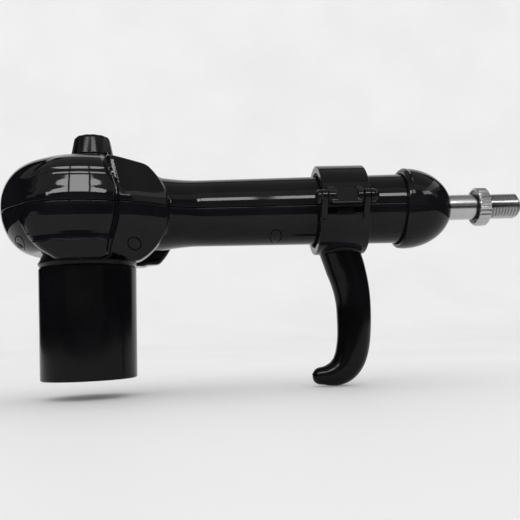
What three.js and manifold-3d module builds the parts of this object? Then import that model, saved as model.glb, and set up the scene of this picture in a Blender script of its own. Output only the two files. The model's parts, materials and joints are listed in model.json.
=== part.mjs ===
// Hand-held reciprocating-rod tool: a round motor head on an upright handle, a barrel with a sliding
// steel rod driven by a crank and slotted yoke, and a hinged clamp on the barrel with a hooked grip.
// Millimetres. The origin is the middle of the handle's lower end. +X runs along the barrel to the
// threaded end of the rod, +Z is up, and -Y is the side with the clamp's hinge.
import * as THREE from 'three';
import { mergeVertices } from 'three/addons/utils/BufferGeometryUtils.js';
import Module from 'manifold-3d';

const wasm = await Module();
wasm.setup();

// ---- driving dimensions ------------------------------------------------------------------------
const GAP = 0.3; // clearance left between neighbouring pieces
const AXIS_Z = 97.7; // height of the rod's axis, and of the plane where the housing parts

const HEAD = { centreZ: 102.3, flatR: 29.5, shoulder: 20.3, up: 25.2, down: 28.2 };
const CROWN = { r: 15, z: 131.9 };
const HEAD_WALL = 3.4;
const CHEEK_R = 52.5; // plan radius of the raised cheeks on both sides of the head
const CHEEK_INNER_Y = 20;
const GROOVE_X = 19; // where the rear pad of a cheek meets its front wing

const BARREL = { fromX: 30, neckX: 64, endX: 203, rNeck: 20.3, rEnd: 21.8, bore: 17 };
const NECK = { fromX: 44, halfWidth: 29, halfHeight: 22.3 };

const HANDLE = { rBottom: 28, rTop: 28.7, bore: 25.5, top: 73.8, lipR: 29.1, lipLow: 65.3, lipHigh: 68.3 };
const SOCKET_R = 31; // clearance that the head leaves round the handle

const ROD_R = 8;
const STROKE = 40;
const CRANK_R = STROKE / 2;
const REST_X = -CRANK_R; // middle of the yoke with the rod fully drawn back
const ROD = { rearX: -4, shoulderX: 250.1, endX: 270.4, threadR: 7.85, rootR: 7.05, pitch: 2 };
const NUT = { fromX: 242.4, toX: 249.9, r: 12.05, teeth: 30, toothDepth: 0.45 };

const NOSE = { rimX: 192.3, beltX: 196, r: 25.3, rimR: 24.5, length: 30.6, endX: 223.6, wall: 22.3 };

const CLAMP = { fromX: 140.7, toX: 169.3, r: 27.8, inner: 23.2 };
const CLAMP_X = (CLAMP.fromX + CLAMP.toX) / 2;
const LINER = { inner: 22.1, outer: 22.9 };
const HINGE = { y: -31.2, z: 100.3, r: 3.1, pinR: 1.5 };
const LATCH = { y: 35.6, r: 3, headR: 8, lugY: 40.6 };

const KNOB = { x: 3.6, baseZ: 133.7, rBase: 12.8, rTop: 10.7, topZ: 146.6, bezelR: 14 };

const PLUG_R = 3.3;

// ---- colours -----------------------------------------------------------------------------------
const plastic = (color, roughness = 0.25) => () =>
  new THREE.MeshStandardMaterial({ color, roughness, metalness: 0 });
const metal = (color, roughness = 0.3) => () =>
  new THREE.MeshStandardMaterial({ color, roughness, metalness: 1 });
const BLACK = plastic(0x0b0b0d);
const GRIP_BLACK = plastic(0x0d0d10, 0.35);
const RUBBER = plastic(0x18181a, 0.8);
const POLYMER = plastic(0xd8d4c8, 0.5);
const BOARD = plastic(0x1f5a34, 0.6);
const STEEL = metal(0xb9bbbd);
const DARK_STEEL = metal(0x4a4c50, 0.45);
const BRASS = metal(0xb08d4a, 0.35);

// ---- solids ------------------------------------------------------------------------------------
/** Turns a closed three.js geometry into a solid, facing outwards. */
function solid(geometry) {
  const bare = geometry.clone();
  for (const name of Object.keys(bare.attributes)) {
    if (name !== 'position') bare.deleteAttribute(name);
  }
  const merged = mergeVertices(bare, 1e-4);
  const points = merged.attributes.position;
  const index = [...merged.index.array];
  const corners = [];
  for (let i = 0; i < index.length; i += 3) {
    const [a, b, c] = index.slice(i, i + 3);
    if (a !== b && b !== c && c !== a) corners.push([a, b, c]);
  }
  const at = (i) => new THREE.Vector3().fromBufferAttribute(points, i);
  const volume = corners.reduce((sum, [a, b, c]) => sum + at(a).dot(at(b).cross(at(c))), 0);
  const facing = volume < 0 ? corners.map(([a, b, c]) => [a, c, b]) : corners;
  return new wasm.Manifold(
    new wasm.Mesh({
      numProp: 3,
      vertProperties: new Float32Array(points.array),
      triVerts: new Uint32Array(facing.flat()),
    }),
  );
}

/** Turns a solid back into a three.js geometry. */
function geometryOf(body) {
  const mesh = body.getMesh();
  const geometry = new THREE.BufferGeometry();
  geometry.setAttribute('position', new THREE.BufferAttribute(mesh.vertProperties, 3));
  geometry.setIndex(new THREE.BufferAttribute(mesh.triVerts, 1));
  geometry.computeVertexNormals();
  return geometry;
}

const join = (...bodies) => bodies.reduce((a, b) => a.add(b));
const cut = (body, ...tools) => tools.reduce((a, b) => a.subtract(b), body);

/** A profile of [radius, height] turned about an axis that passes through `at`. */
function turned(profile, axis, at = [0, 0, 0], segments = 48) {
  const geometry = new THREE.LatheGeometry(profile.map(([r, h]) => new THREE.Vector2(r, h)), segments);
  if (axis === 'x') geometry.rotateZ(-Math.PI / 2);
  if (axis === 'z') geometry.rotateX(Math.PI / 2);
  return solid(geometry.translate(...at));
}

/** A cylinder from one end to the other along an axis. `at` holds the other two coordinates. */
function bar(r, from, to, axis, at = [0, 0, 0], segments = 32) {
  return turned([[0, from], [r, from], [r, to], [0, to]], axis, at, segments);
}

/** A tube, closed on itself. */
function ring(inner, outer, from, to, axis, at = [0, 0, 0], segments = 32) {
  return turned([[inner, from], [outer, from], [outer, to], [inner, to], [inner, from]], axis, at, segments);
}

function block([x0, x1], [y0, y1], [z0, z1]) {
  const geometry = new THREE.BoxGeometry(x1 - x0, y1 - y0, z1 - z0);
  return solid(geometry.translate((x0 + x1) / 2, (y0 + y1) / 2, (z0 + z1) / 2));
}

/** An outline in X and Z, extruded along Y. */
function slabXZ(shape, y0, y1, curveSegments = 16) {
  const geometry = new THREE.ExtrudeGeometry(shape, { depth: y1 - y0, bevelEnabled: false, curveSegments });
  return solid(geometry.rotateX(Math.PI / 2).translate(0, y1, 0));
}

/** An outline in X and Y, extruded along Z. */
function prism(shape, z0, z1) {
  const geometry = new THREE.ExtrudeGeometry(shape, { depth: z1 - z0, bevelEnabled: false });
  return solid(geometry.translate(0, 0, z0));
}

/** An outline in Y and Z, extruded along X. */
function slabYZ(shape, x0, x1, curveSegments = 16) {
  const geometry = new THREE.ExtrudeGeometry(shape, { depth: x1 - x0, bevelEnabled: false, curveSegments });
  const turn = new THREE.Matrix4().makeBasis(
    new THREE.Vector3(0, 1, 0), new THREE.Vector3(0, 0, 1), new THREE.Vector3(1, 0, 0));
  return solid(geometry.applyMatrix4(turn).translate(x0, 0, 0));
}

const polygon = (points) => new THREE.Shape(points.map(([a, b]) => new THREE.Vector2(a, b)));
const polarPolygon = (points) => polygon(points.map(([r, t]) => [r * Math.cos(t), r * Math.sin(t)]));

/** Elliptical sections [centre, direction, halfAlong, halfAcross] joined into one closed skin. */
function lofted(sections, segments = 24) {
  const positions = [];
  const index = [];
  sections.forEach(({ centre, along, across, a, b }) => {
    for (let i = 0; i < segments; i += 1) {
      const t = (2 * Math.PI * i) / segments;
      const p = centre.clone().addScaledVector(along, a * Math.cos(t));
      p.addScaledVector(across, b * Math.sin(t));
      positions.push(p.x, p.y, p.z);
    }
  });
  for (let s = 0; s < sections.length - 1; s += 1) {
    for (let i = 0; i < segments; i += 1) {
      const [p, q] = [s * segments + i, s * segments + ((i + 1) % segments)];
      index.push(p, q, q + segments, p, q + segments, p + segments);
    }
  }
  const last = (sections.length - 1) * segments;
  for (let i = 1; i < segments - 1; i += 1) {
    index.push(0, i + 1, i, last, last + i, last + i + 1);
  }
  const geometry = new THREE.BufferGeometry();
  geometry.setAttribute('position', new THREE.Float32BufferAttribute(positions, 3));
  geometry.setIndex(index);
  return solid(geometry);
}

// ---- housing -----------------------------------------------------------------------------------
/** Points of a quarter-turned shoulder, from the flat bottom round the belt to the crown. */
function headProfile(inset = 0) {
  const steps = 8;
  const arc = Array.from({ length: steps + 1 }, (_, i) => {
    const t = -Math.PI / 2 + (Math.PI * i) / steps;
    const rise = (Math.sin(t) < 0 ? HEAD.down : HEAD.up) - inset;
    return [HEAD.flatR + (HEAD.shoulder - inset) * Math.cos(t), HEAD.centreZ + rise * Math.sin(t)];
  });
  const crown = CROWN.z - inset;
  return [[0, arc[0][1]], ...arc, [CROWN.r, crown], [0, crown]];
}

/** The raised cheek's side outline: a soft-cornered panel whose front edge is one long arc. */
function cheekOutline() {
  const shape = new THREE.Shape();
  shape.moveTo(-12, 65.5);
  shape.quadraticCurveTo(-16, 76, -27, 88);
  shape.quadraticCurveTo(-30, 100, -28, 111);
  shape.quadraticCurveTo(-22, 122, -6, 124.5);
  shape.lineTo(31, 125.5);
  shape.quadraticCurveTo(48, 117, 49.8, 99);
  shape.quadraticCurveTo(48, 76, 32, 65.5);
  shape.closePath();
  return shape;
}

/** The pads' outer wall, behind the groove: a stepped slope above, a ledge and chamfer below. */
function padWall() {
  return turned([
    [0, 64], [42.8, 64], [46.6, 72], [48.5, 76.3], [47.8, 77.6], [48, 80], [49.9, 86], [51.4, 91],
    [52.2, 95], [CHEEK_R, 97.7], [52.2, 101], [51.2, 105.5], [48.4, 112.4], [47.4, 113.6],
    [46.6, 115.5], [45.8, 117], [42.6, 121], [37, 126.5], [0, 131],
  ], 'z', [0, 0, 0], 48);
}

/** The wings' outer wall, ahead of the groove: crowned at the parting line, leaning in below. */
function wingWall() {
  return turned([
    [0, 64], [43, 64], [46.1, 70], [48.7, 76], [51, 83], [CHEEK_R, 90.5], [CHEEK_R, 103],
    [51, 108], [46.5, 120], [40, 125.5], [0, 131],
  ], 'z', [0, 0, 0], 48);
}

function cheeks() {
  const panel = slabXZ(cheekOutline(), -60, 60, 6);
  const between = block([-80, 80], [-CHEEK_INNER_Y, CHEEK_INNER_Y], [40, 150]);
  const behind = block([-80, GROOVE_X], [-80, 80], [40, 150]);
  const pads = panel.intersect(padWall()).intersect(behind);
  const wings = panel.intersect(wingWall()).subtract(behind);
  return join(pads, wings).subtract(between);
}

/** The barrel's root, wide across the head and closing to the round barrel. */
function neck() {
  const count = 5;
  const sections = Array.from({ length: count + 1 }, (_, i) => {
    const t = i / count;
    const ease = (1 - t) ** 2;
    return {
      centre: new THREE.Vector3(NECK.fromX + (BARREL.neckX + 4 - NECK.fromX) * t, 0, AXIS_Z),
      along: new THREE.Vector3(0, 1, 0),
      across: new THREE.Vector3(0, 0, 1),
      a: BARREL.rNeck + (NECK.halfWidth - BARREL.rNeck) * ease,
      b: BARREL.rNeck + (NECK.halfHeight - BARREL.rNeck) * ease,
    };
  });
  return lofted(sections, 32);
}

function barrelOuter() {
  return turned([[0, BARREL.fromX], [BARREL.rNeck, BARREL.fromX], [BARREL.rNeck, BARREL.neckX],
    [BARREL.rEnd, BARREL.endX], [0, BARREL.endX]], 'x', [0, 0, AXIS_Z], 32);
}

const SIDE_SCREWS = [
  { name: 'barrel', x: 113.3, z: 80.9, plugY: 8.6, tipY: 3.4 },
  { name: 'head_front', x: 31.3, z: 75.2, plugY: 34.2, tipY: 24 },
  { name: 'head_rear', x: -34.3, z: 79.4, plugY: 19.4, tipY: 12 },
];
const SCREW_R = 1.6;

function sideScrewHoles() {
  return SIDE_SCREWS.flatMap(({ x, z, plugY, tipY }) => [1, -1].flatMap((side) => [
    sideBar(PLUG_R + GAP, plugY - 2.6, 60, side, x, z),
    sideBar(SCREW_R + GAP, tipY, plugY - 2, side, x, z),
  ]));
}

/** A cylinder along Y on one side of the object. */
function sideBar(r, from, to, side, x, z, segments = 14) {
  const ends = side > 0 ? [from, to] : [-to, -from];
  return bar(r, ends[0], ends[1], 'y', [x, 0, z], segments);
}

function housingOuter() {
  return join(turned(headProfile(), 'z', [0, 0, 0], 40), cheeks(), neck(), barrelOuter());
}

function housingInner() {
  const cavity = turned(headProfile(HEAD_WALL), 'z', [0, 0, 0], 24);
  const bore = bar(BARREL.bore, 20, BARREL.endX + 10, 'x', [0, 0, AXIS_Z], 28);
  const socket = bar(SOCKET_R, 40, HEAD.centreZ - HEAD.down, 'z', [0, 0, 0], 40);
  const floorHole = bar(8, 60, 90, 'z', [0, 0, 0], 20);
  const shaftHole = bar(4.5, 110, 140, 'z', [KNOB.x, 0, 0], 16);
  return [cavity, bore, socket, floorHole, shaftHole];
}

const bigBox = (z0, z1) => block([-90, 320], [-90, 90], [z0, z1]);

function housingHalves(outerSolid) {
  const shell = cut(outerSolid, ...housingInner(), ...sideScrewHoles());
  return {
    upper: shell.intersect(bigBox(AXIS_Z + GAP / 2, 200)),
    lower: shell.intersect(bigBox(0, AXIS_Z - GAP / 2)),
  };
}

/** A small disc that closes a screw recess and follows the housing's surface. */
function plug(outer, { x, z, plugY }, side) {
  return sideBar(PLUG_R, plugY + GAP, 60, side, x, z).intersect(outer);
}

function sideScrew({ x, z, plugY, tipY }, side) {
  const reach = plugY - 0.2;
  return join(
    sideBar(SCREW_R, tipY + 0.2, reach, side, x, z, 12),
    sideBar(2.9, reach - 2, reach, side, x, z, 12),
  );
}

// ---- handle ------------------------------------------------------------------------------------
function handleTube() {
  return turned([
    [HANDLE.bore, 0], [HANDLE.rBottom - 0.8, 0], [HANDLE.rBottom, 0.8], [HANDLE.rTop, HANDLE.lipLow],
    [HANDLE.rTop - 0.9, HANDLE.lipLow + 0.6], [HANDLE.lipR, HANDLE.lipHigh],
    [HANDLE.lipR - 0.3, HANDLE.lipHigh + 0.7], [HANDLE.bore + 0.9, HANDLE.top],
    [HANDLE.bore, HANDLE.top], [HANDLE.bore, 0],
  ], 'z', [0, 0, 0], 32);
}

const INLET_X = 13;
const INLET_BORE_R = 3.4;

function handleEndCap() {
  const disc = bar(HANDLE.bore - GAP, 0, 3.2, 'z', [0, 0, 0], 32);
  const skirt = ring(22.3, HANDLE.bore - GAP, 3, 5.5, 'z', [0, 0, 0], 32);
  return cut(join(disc, skirt), bar(5.9, -1, 8, 'z', [INLET_X, 0, 0], 16));
}

function powerInlet() {
  const body = bar(5.6, 0.6, 13, 'z', [INLET_X, 0, 0], 16);
  return cut(body, bar(INLET_BORE_R, 0, 9.5, 'z', [INLET_X, 0, 0], 16));
}

// ---- motor and crank ---------------------------------------------------------------------------
const MOTOR = [[0, 14], [8, 14], [8, 16], [20.6, 16], [21, 16.4], [21, 50], [0, 50]];
const GEARBOX = [[0, 50.3], [22, 50.3], [22.5, 51], [22.5, 67.4], [22, 68], [0, 68]];
const motorCan = () => turned(MOTOR, 'z', [0, 0, 0], 32);
const gearbox = () => turned(GEARBOX, 'z', [0, 0, 0], 32);
const motorPlate = () => ring(8, HANDLE.bore - GAP, 68.3, 71.3, 'z', [0, 0, 0], 28);
const gearboxSpigot = () => ring(4.3, 7.7, 68.3, 72.5, 'z', [0, 0, 0], 24);
const shaftBearing = () => ring(4.3, 7.7, 73.2, 78.6, 'z', [0, 0, 0], 24);

const DISC = { low: 81, high: 86 };
const outputShaft = () => bar(4, 68.4, DISC.high - 0.3, 'z', [0, 0, 0], 20);
const FOLLOWER = { pinR: 3, rollerR: 5.5, low: 92.6, high: 102 };

function crankDisc() {
  const disc = bar(27, DISC.low, DISC.high, 'z', [0, 0, 0], 36);
  const hub = bar(9, DISC.low - 1.8, DISC.low + 1, 'z', [0, 0, 0], 16);
  const window = bar(6.5, 70, 95, 'z', [12, 12, 0], 12);
  const otherWindow = bar(6.5, 70, 95, 'z', [12, -12, 0], 12);
  const shaftHole = bar(4.3, 70, 95, 'z', [0, 0, 0], 14);
  const pinHole = bar(FOLLOWER.pinR + GAP, 70, 95, 'z', [REST_X, 0, 0], 12);
  return cut(join(disc, hub), window, otherWindow, shaftHole, pinHole);
}

function crankPin() {
  const shank = bar(FOLLOWER.pinR, DISC.low + 0.3, 104, 'z', [REST_X, 0, 0], 16);
  const collar = bar(4.4, DISC.high + GAP, 91.9, 'z', [REST_X, 0, 0], 16);
  return join(shank, collar);
}

const crankRoller = () =>
  ring(FOLLOWER.pinR + GAP, FOLLOWER.rollerR, FOLLOWER.low, FOLLOWER.high, 'z', [REST_X, 0, 0], 24);

// ---- rod and yoke ------------------------------------------------------------------------------
const YOKE = { halfX: 14.5, halfY: 30.5, slotX: 10.2, slotY: 26, low: 93.2, high: 102.2, corner: 7 };
const TONGUE = { fromX: REST_X + 12, toX: 10, halfY: 10.5, halfZ: 10.2 };

function yoke() {
  const { halfX, halfY, corner, slotX, slotY } = YOKE;
  const outline = [
    [halfX, halfY - corner], [halfX - corner, halfY], [corner - halfX, halfY], [-halfX, halfY - corner],
    [-halfX, corner - halfY], [corner - halfX, -halfY], [halfX - corner, -halfY], [halfX, corner - halfY],
  ].map(([x, y]) => [REST_X + x, y]);
  const plate = prism(polygon(outline), YOKE.low, YOKE.high);
  const slot = block([REST_X - slotX, REST_X + slotX], [-slotY, slotY], [80, 120]);
  const tongue = block([TONGUE.fromX + 2, TONGUE.toX], [-TONGUE.halfY, TONGUE.halfY],
    [AXIS_Z - TONGUE.halfZ, AXIS_Z + TONGUE.halfZ]);
  const bore = bar(ROD_R + GAP, ROD.rearX - GAP, 40, 'x', [0, 0, AXIS_Z], 32);
  const pinHole = bar(2.3, 70, 120, 'z', [3, 0, 0], 16);
  return cut(join(plate, tongue), slot, bore, pinHole);
}

const yokePin = () => bar(2, AXIS_Z - TONGUE.halfZ + 0.2, AXIS_Z + TONGUE.halfZ - 0.2, 'z', [3, 0, 0], 16);

function rod() {
  const profile = [
    [0, ROD.rearX], [ROD_R, ROD.rearX], [ROD_R, ROD.shoulderX - 0.6], [ROD.rootR, ROD.shoulderX],
  ];
  const turns = Math.floor((ROD.endX - 1.4 - ROD.shoulderX) / ROD.pitch);
  for (let i = 0; i < turns; i += 1) {
    const x = ROD.shoulderX + i * ROD.pitch;
    profile.push([ROD.threadR, x + ROD.pitch / 2], [ROD.rootR, x + ROD.pitch]);
  }
  profile.push([ROD.rootR, ROD.endX], [0, ROD.endX]);
  return cut(turned(profile, 'x', [0, 0, AXIS_Z], 16), bar(2.3, 70, 120, 'z', [3, 0, 0], 12));
}

function lockNut() {
  const points = [];
  for (let i = 0; i < NUT.teeth; i += 1) {
    const step = (2 * Math.PI) / NUT.teeth;
    points.push([NUT.r - NUT.toothDepth, i * step], [NUT.r, (i + 0.5) * step]);
  }
  const shape = polarPolygon(points);
  const hole = new THREE.Path();
  hole.absarc(0, 0, ROD_R + GAP, 0, 2 * Math.PI, true);
  shape.holes.push(hole);
  const nut = slabYZ(shape, NUT.fromX, NUT.toX, 12);
  const envelope = turned([[0, NUT.fromX], [NUT.r - 0.9, NUT.fromX], [NUT.r + 0.1, NUT.fromX + 1],
    [NUT.r + 0.1, NUT.toX - 1], [NUT.r - 0.9, NUT.toX], [0, NUT.toX]], 'x', [0, 0, 0], 30);
  const counterbore = bar(10.6, NUT.fromX - 1, NUT.fromX + 2.5, 'x', [0, 0, 0], 24);
  return cut(nut.intersect(envelope), counterbore).translate([0, 0, AXIS_Z]);
}

// ---- bushes and nose ---------------------------------------------------------------------------
const rearBush = () =>
  cut(ring(ROD_R + GAP, BARREL.bore - GAP, 104, 122, 'x', [0, 0, AXIS_Z], 24), ...sideScrewHoles());
const frontBush = () =>
  ring(ROD_R + GAP, BARREL.bore - GAP, 187, BARREL.endX - 0.5, 'x', [0, 0, AXIS_Z], 24);
const WIPER = [[8.3, 218.6], [10.6, 218.6], [10.6, 222.3], [9.4, 223.5], [8.3, 223.5], [8.3, 218.6]];
const wiperSeal = () => turned(WIPER, 'x', [0, 0, AXIS_Z], 20);

function noseCone() {
  const dome = Array.from({ length: 8 }, (_, i) => {
    const x = NOSE.beltX + (NOSE.endX - NOSE.beltX) * Math.sin((i / 7) * (Math.PI / 2));
    return [NOSE.r * Math.sqrt(1 - ((x - NOSE.beltX) / NOSE.length) ** 2), x];
  });
  const skin = turned([[0, NOSE.rimX], [NOSE.rimR - 0.8, NOSE.rimX], [NOSE.rimR + 0.3, NOSE.rimX + 1],
    ...dome, [0, NOSE.endX]], 'x', [0, 0, AXIS_Z], 28);
  const socket = bar(NOSE.wall, NOSE.rimX - 1, BARREL.endX + GAP, 'x', [0, 0, AXIS_Z], 32);
  const hollow = turned([[0, BARREL.endX], [15, BARREL.endX], [11, 216], [0, 216]], 'x', [0, 0, AXIS_Z], 24);
  const sealSeat = bar(10.9, 218.3, 230, 'x', [0, 0, AXIS_Z], 20);
  const bore = bar(ROD_R + 0.6, 200, 230, 'x', [0, 0, AXIS_Z], 20);
  return cut(skin, socket, hollow, sealSeat, bore);
}

// ---- clamp and grip ----------------------------------------------------------------------------
/** A solid sector of the clamp ring between two angles from +Y towards +Z, in degrees. */
function ringSector(inner, outer, x0, x1, fromDeg, toDeg) {
  const [from, to] = [THREE.MathUtils.degToRad(fromDeg), THREE.MathUtils.degToRad(toDeg)];
  const shape = new THREE.Shape();
  shape.absarc(0, 0, outer, from, to, false);
  shape.absarc(0, 0, inner, to, from, true);
  return slabYZ(shape, x0, x1, 11).translate([0, 0, AXIS_Z]);
}

const EARS = [[138.6, 142.2], [163.7, 167.3]];
const KNUCKLES = [[142.5, 147.2], [159.8, 163.4]];
const LUG_X = [CLAMP_X - 7, CLAMP_X + 7];
const GRIP_X = 154.6; // where the grip joins the clamp

function hingeEar([x0, x1]) {
  const plate = slabYZ(polygon([
    [-34.2, 100.3], [-34, 93], [-28.6, 83.5], [-24.6, 84.5], [-25.6, 90.5], [-28.6, 92.5], [-29, 100.3],
  ]), x0, x1);
  return join(plate, bar(HINGE.r, x0, x1, 'x', [0, HINGE.y, HINGE.z], 20));
}

const hingeBore = () => bar(HINGE.pinR + GAP, 120, 190, 'x', [0, HINGE.y, HINGE.z], 16);

/** The short neck under the clamp that the grip's upper end meets. */
function clampNeck() {
  const steps = [
    { z: 78, a: 9, b: 8 },
    { z: 74.5, a: 11.4, b: 10.4 },
    { z: 72, a: 12.2, b: 11.2 },
    { z: 70.2, a: 12.9, b: 11.6 },
  ];
  const [along, across] = [new THREE.Vector3(1, 0, 0), new THREE.Vector3(0, 1, 0)];
  return lofted(
    steps.map(({ z, a, b }) => ({ centre: new THREE.Vector3(GRIP_X, 0, z), along, across, a, b })), 20);
}

const gripBoltHole = (fromZ) => bar(3.3, fromZ, 79, 'z', [GRIP_X, 0, 0], 16);
const barrelRoom = () =>
  bar(CLAMP.inner, CLAMP.fromX - 10, CLAMP.toX + 10, 'x', [0, 0, AXIS_Z], 28);

function clampLower() {
  const shell = ringSector(CLAMP.inner, CLAMP.r, CLAMP.fromX, CLAMP.toX, 180 + 13.2, 360 - 0.7);
  const lug = block(LUG_X, [24.5, LATCH.lugY], [88.5, AXIS_Z - GAP]);
  const whole = join(shell, lug, clampNeck(), ...EARS.map(hingeEar));
  const latchHole = bar(LATCH.r + 1.8, 80, 99, 'z', [CLAMP_X, LATCH.y, 0], 20);
  return cut(whole, latchHole, gripBoltHole(60), hingeBore(), barrelRoom());
}

function clampCap() {
  const shell = ringSector(CLAMP.inner, CLAMP.r, CLAMP.fromX, CLAMP.toX, 0.7, 173.6);
  const flap = ringSector(25.4, 28.6, KNUCKLES[0][1] - 0.5, KNUCKLES[1][0] + 0.5, 165, 184.4);
  const knuckles = KNUCKLES.flatMap(([x0, x1]) => [
    bar(HINGE.r, x0, x1, 'x', [0, HINGE.y, HINGE.z], 20),
    slabYZ(polygon([[-33.6, 102], [-31.2, 100.6], [-26.4, 101], [-25.6, 106.5], [-27.4, 107.2]]), x0, x1),
  ]);
  const lug = block(LUG_X, [24.5, LATCH.lugY], [AXIS_Z + GAP, 104.6]);
  const whole = join(shell, flap, lug, ...knuckles);
  const latchHole = bar(LATCH.r + GAP, 90, 110, 'z', [CLAMP_X, LATCH.y, 0], 20);
  return cut(whole, latchHole, hingeBore(), barrelRoom());
}

const hingePin = () => bar(HINGE.pinR, 137, 169, 'x', [0, HINGE.y, HINGE.z], 16);

/** A domed nut on one end of the hinge pin. `toward` is the side that the dome points to. */
function domedNut(x, toward, length) {
  const profile = [[0, 0], [3.1, 0], [3.1, length * 0.4], [2.5, length * 0.75], [1.2, length], [0, length]];
  const nut = turned(profile.map(([r, h]) => [r, x + toward * h]), 'x', [0, HINGE.y, HINGE.z], 16);
  return cut(nut, bar(HINGE.pinR + GAP, 137 - GAP, 169 + GAP, 'x', [0, HINGE.y, HINGE.z], 12));
}

const clampLiner = () => {
  const sleeve = ring(LINER.inner, LINER.outer, CLAMP.fromX + 0.6, CLAMP.toX - 0.6, 'x', [0, 0, AXIS_Z], 32);
  return cut(sleeve, block([130, 180], [-40, -10], [91.2, 95.8]));
};

function latchScrew() {
  const points = [];
  for (let i = 0; i < 16; i += 1) {
    const step = (2 * Math.PI) / 16;
    points.push([LATCH.headR - 0.7, i * step]);
    points.push([LATCH.headR, (i + 0.35) * step], [LATCH.headR, (i + 0.65) * step]);
  }
  const head = prism(polarPolygon(points), 106.4, 113.4).translate([CLAMP_X, LATCH.y, 0]);
  const collar = bar(5, 104.9, 107, 'z', [CLAMP_X, LATCH.y, 0], 20);
  const shank = bar(LATCH.r, 89, 107, 'z', [CLAMP_X, LATCH.y, 0], 16);
  return join(head, collar, shank);
}

/** The hooked grip: a thick curved stem that turns in at the foot to a blunt toe. */
const GRIP_LINE = [
  [154.6, 69.7, 12.9], [156.9, 62, 12.3], [158.9, 54.5, 11.7], [160.3, 47, 11.2], [161, 39, 10.8],
  [161, 31, 10.6], [160.7, 24, 10.4], [160.1, 17.5, 10.2], [158.9, 11, 10], [156.8, 5, 9.6],
  [153.4, 0.3, 9], [149, -2.6, 8], [144.5, -3.9, 6.7], [140.4, -4.3, 5.6], [137, -4.3, 5],
  [135, -4.2, 3.9], [133.6, -4.1, 1.8],
];

function grip() {
  const line = GRIP_LINE.map(([x, z]) => new THREE.Vector3(x, 0, z));
  const sections = GRIP_LINE.map(([, , half], i) => {
    const before = line[Math.max(0, i - 1)];
    const after = line[Math.min(line.length - 1, i + 1)];
    const heading = i === 0 ? new THREE.Vector3(0, 0, -1) : after.clone().sub(before).normalize();
    const along = new THREE.Vector3(-heading.z, 0, heading.x);
    return { centre: line[i], along, across: new THREE.Vector3(0, 1, 0), a: half, b: half * 0.92 };
  });
  return cut(lofted(sections, 16), gripBoltHole(48));
}

const gripBolt = () => bar(3, 48.5, 74.3, 'z', [GRIP_X, 0, 0], 16);

// ---- controls ----------------------------------------------------------------------------------
const KNOB_RIBS = 20;

function speedKnob() {
  const points = [];
  for (let i = 0; i < KNOB_RIBS; i += 1) {
    const step = (2 * Math.PI) / KNOB_RIBS;
    points.push([KNOB.rBase * 0.965, i * step]);
    points.push([KNOB.rBase, (i + 0.3) * step], [KNOB.rBase, (i + 0.7) * step]);
  }
  const body = turned([[0, KNOB.baseZ], [KNOB.rBase, KNOB.baseZ], [KNOB.rTop, KNOB.topZ - 2],
    [KNOB.rTop - 1.6, KNOB.topZ - 0.4], [0, KNOB.topZ]], 'z', [KNOB.x, 0, 0], 24);
  const ribs = prism(polarPolygon(points), KNOB.baseZ - 5, KNOB.topZ + 5).translate([KNOB.x, 0, 0]);
  return cut(body.intersect(ribs), bar(3.3, 120, 143.5, 'z', [KNOB.x, 0, 0], 20));
}

const knobShaft = () => bar(3, 125.2, 143.2, 'z', [KNOB.x, 0, 0], 16);
const knobBezel = () => ring(5, KNOB.bezelR, CROWN.z + GAP, CROWN.z + 1.5, 'z', [KNOB.x, 0, 0], 24);
const potentiometer = () => bar(8, 117, 124.9, 'z', [KNOB.x, 0, 0], 24);
const controlBoard = () => block([-14, 26], [-15, 15], [114.9, 116.7]);

// ---- assembly ----------------------------------------------------------------------------------
const tool = new THREE.Group();

function add(name, body, material) {
  const mesh = new THREE.Mesh(geometryOf(body), material());
  mesh.name = name;
  tool.add(mesh);
}

const outer = housingOuter();
const halves = housingHalves(outer);
add('upper_housing', halves.upper, BLACK);
add('lower_housing', halves.lower, BLACK);
for (const screw of SIDE_SCREWS) {
  for (const [label, side] of [['near', -1], ['far', 1]]) {
    add(`${screw.name}_screw_${label}`, sideScrew(screw, side), DARK_STEEL);
    add(`${screw.name}_plug_${label}`, plug(outer, screw, side), BLACK);
  }
}

add('handle_tube', handleTube(), GRIP_BLACK);
add('handle_end_cap', handleEndCap(), BLACK);
add('power_inlet', powerInlet(), RUBBER);
add('motor', motorCan(), DARK_STEEL);
add('gearbox', gearbox(), STEEL);
add('motor_plate', cut(motorPlate(), gearboxSpigot()), DARK_STEEL);
add('shaft_bearing', shaftBearing(), STEEL);

add('output_shaft', outputShaft(), STEEL);
add('crank_disc', crankDisc(), DARK_STEEL);
add('crank_pin', crankPin(), STEEL);
add('crank_roller', crankRoller(), BRASS);

add('yoke', yoke(), DARK_STEEL);
add('yoke_pin', yokePin(), STEEL);
add('rod', rod(), STEEL);
add('lock_nut', lockNut(), STEEL);
add('rear_bush', rearBush(), POLYMER);
add('front_bush', frontBush(), POLYMER);
add('wiper_seal', wiperSeal(), RUBBER);
add('nose_cone', noseCone(), BLACK);

add('clamp_liner', clampLiner(), RUBBER);
add('clamp_lower', clampLower(), BLACK);
add('clamp_cap', clampCap(), BLACK);
add('hinge_pin', hingePin(), STEEL);
add('hinge_nut_rear', domedNut(138.3, -1, 3.4), BLACK);
add('hinge_nut_front', domedNut(167.6, 1, 5.4), BLACK);
add('latch_screw', latchScrew(), BLACK);
add('grip', grip(), GRIP_BLACK);
add('grip_bolt', gripBolt(), STEEL);

add('knob_bezel', knobBezel(), RUBBER);
add('speed_knob', speedKnob(), BLACK);
add('knob_shaft', knobShaft(), STEEL);
add('potentiometer', potentiometer(), DARK_STEEL);
add('control_board', controlBoard(), BOARD);

export default tool;
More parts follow.
